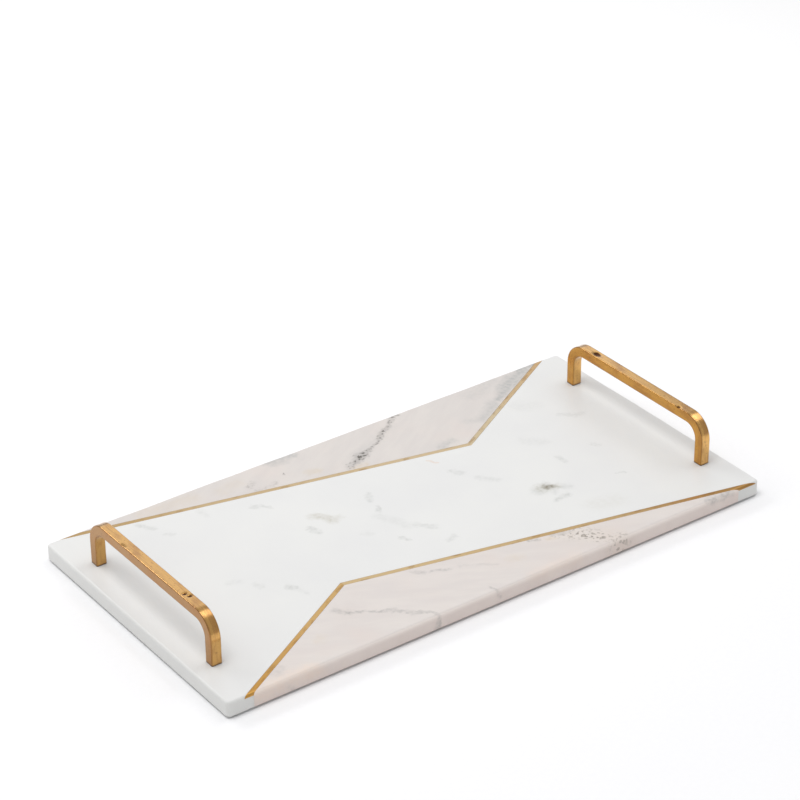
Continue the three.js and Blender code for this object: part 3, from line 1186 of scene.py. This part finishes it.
def build_fittings():
    """The handles, their screws and washers, and the feet."""
    steel = zinc()
    black = rubber()
    for side in SIDES:
        settle(handle(side), f"handle_{side}", handle_brass(side))
        for edge in EDGES:
            settle(screw(side, edge), f"screw_{side}_{edge}", steel)
            settle(washer(side, edge), f"washer_{side}_{edge}", steel)
            settle(foot(side, edge), f"foot_{side}_{edge}", black)


# ---------------------------------------------------------------- studio

AIM = Vector((77.0 * MM, 115.5 * MM, SLAB_TOP))
CAMERA_DISTANCE = 1830.8 * MM
CAMERA_HEADING = math.radians(35.609)
CAMERA_DOWN = math.radians(29.946)
CAMERA_ROLL = math.radians(-0.566)
LENS = 123.68


def build_camera():
    """A long lens looking down on the tray over its near corner."""
    camera = bpy.data.cameras.new("camera")
    camera.lens = LENS
    camera.sensor_width = 36
    camera.clip_start = 0.05
    camera.clip_end = 50
    thing = bpy.data.objects.new("camera", camera)
    bpy.context.scene.collection.objects.link(thing)
    heading = Matrix.Rotation(-CAMERA_HEADING, 3, "Z")
    tilt = Matrix.Rotation(math.pi / 2 - CAMERA_DOWN, 3, "X")
    roll = Matrix.Rotation(CAMERA_ROLL, 3, "Z")
    turn = heading @ tilt @ roll
    thing.rotation_euler = turn.to_euler()
    thing.location = AIM + turn @ Vector((0, 0, CAMERA_DISTANCE))
    bpy.context.scene.camera = thing


def softbox(name, place, width, height, radiance):
    """A soft light of that width and height at a place, facing the middle of the tray."""
    light = bpy.data.lights.new(name, "AREA")
    light.shape = "RECTANGLE"
    light.size = width
    light.size_y = height
    light.energy = radiance * 4 * width * height
    thing = bpy.data.objects.new(name, light)
    bpy.context.scene.collection.objects.link(thing)
    thing.location = place
    thing.rotation_euler = Vector(place).to_track_quat("Z", "Y").to_euler()


FLOOR_REACH = 6
# Between these distances from the tray's middle the paper turns whiter: painted light.
PAPER_NEAR = 260 * MM
PAPER_FAR = 560 * MM


def floor_paper():
    """White paper with a faint grain, painted greyer round the tray and whiter further off: painted
    shade and light.
    """
    m = Material("floor_paper")
    spot = m.place()
    near = m.mixed(m.noise(spot, 3 * MM, 2), shade(245, 245, 246), shade(248, 248, 249))
    away = m.step("ShaderNodeVectorMath", {0: spot}, "Value", operation="LENGTH")
    # Painted light: the paper is made whiter further from the tray, and stays greyer round it as
    # painted shade.
    colour = m.mixed(m.between(away, PAPER_NEAR, PAPER_FAR), near, shade(254, 254, 254))
    m.set(base_color=colour, roughness=0.9)
    return m.result


def build_studio():
    """A white sweep in a dim room, lit from overhead, from behind and from the right."""
    bm = bmesh.new()
    bmesh.ops.create_grid(bm, x_segments=4, y_segments=4, size=FLOOR_REACH)
    floor = mesh_object("floor", bm)
    floor.data.materials.append(floor_paper())

    world = bpy.data.worlds.new("studio")
    world.use_nodes = True
    background = world.node_tree.nodes["Background"]
    background.inputs["Color"].default_value = (0.99, 0.99, 1, 1)
    background.inputs["Strength"].default_value = 0.54
    bpy.context.scene.world = world
    bpy.context.scene.view_settings.view_transform = "Standard"

    softbox("overhead", (-0.55, 0.0, 1.85), 0.85, 0.85, 4.5)
    softbox("behind", (-0.52, 1.25, 1.05), 1.0, 0.4, 3.4)
    softbox("right", (0.73, 0.0, 1.27), 0.7, 0.9, 1.5)
    softbox("back wall", (0.8, 1.33, 0.95), 0.9, 0.9, 0.45)


build_camera()
build_slab()
build_fittings()
build_studio()
